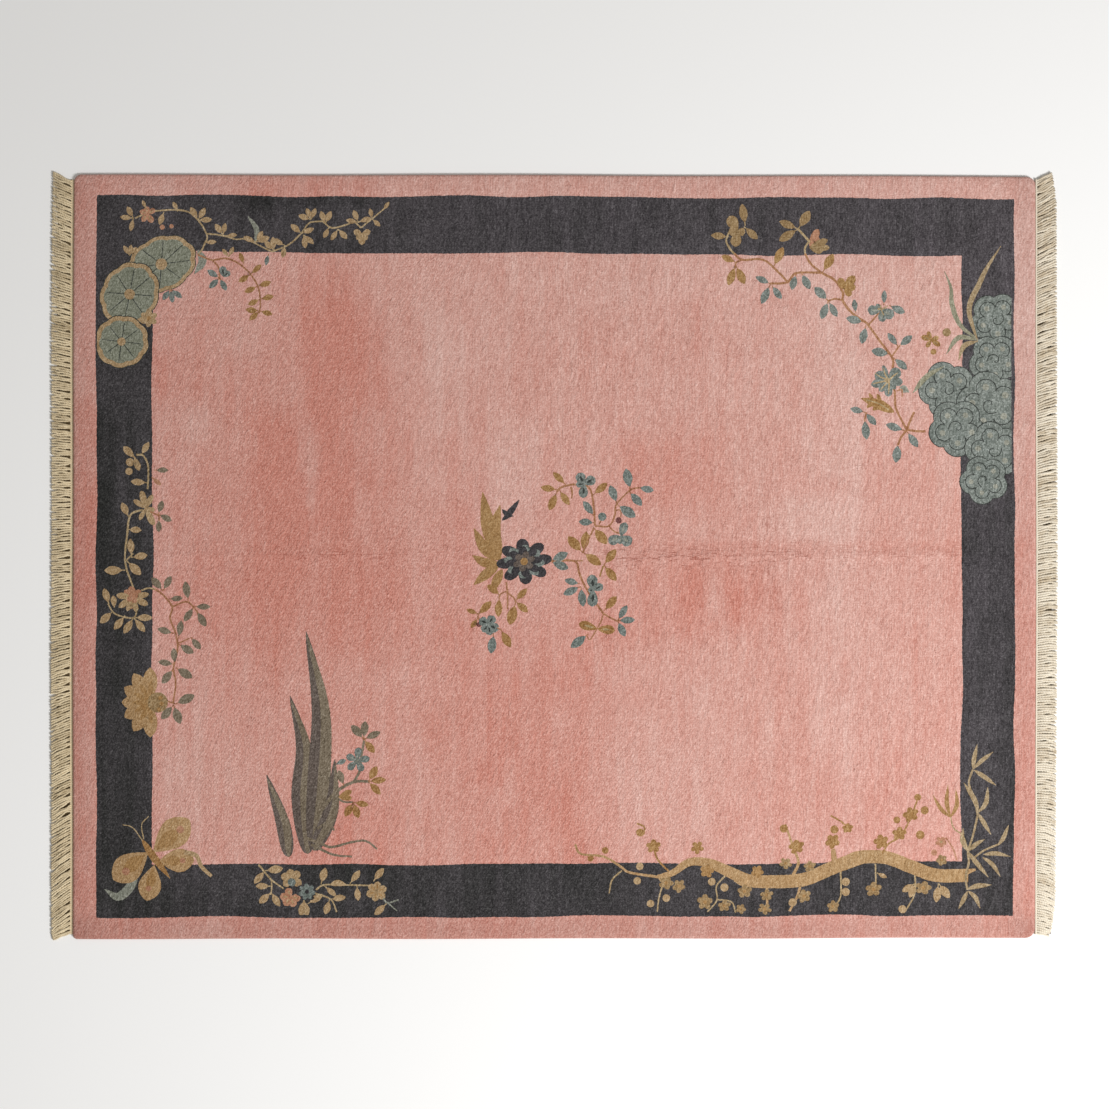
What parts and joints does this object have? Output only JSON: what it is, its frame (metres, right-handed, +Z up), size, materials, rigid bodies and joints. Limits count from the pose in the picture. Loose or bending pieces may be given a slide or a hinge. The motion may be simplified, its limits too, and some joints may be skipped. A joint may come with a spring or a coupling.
{
  "type": "chinese art deco rug",
  "caption": "Rectangular hand-knotted wool pile rug with a dark border band and a twisted cotton fringe at both ends, lying flat.",
  "frame": {"origin": "centre of the bounding box at floor level", "axes": "+Z up from the floor, +X along the long side towards the right-hand fringe, +Y across the rug"},
  "size_m": [3.201, 2.4308, 0.0144],
  "materials": {
    "wool_pile": "matt sheared wool pile with a soft sheen, rose ground with a charcoal band",
    "cotton_fringe": "matt twisted undyed cotton"
  },
  "bodies": {
    "root": {"pile": "wool_pile", "fringe_left": "cotton_fringe", "fringe_right": "cotton_fringe"}
  },
  "joints": []
}
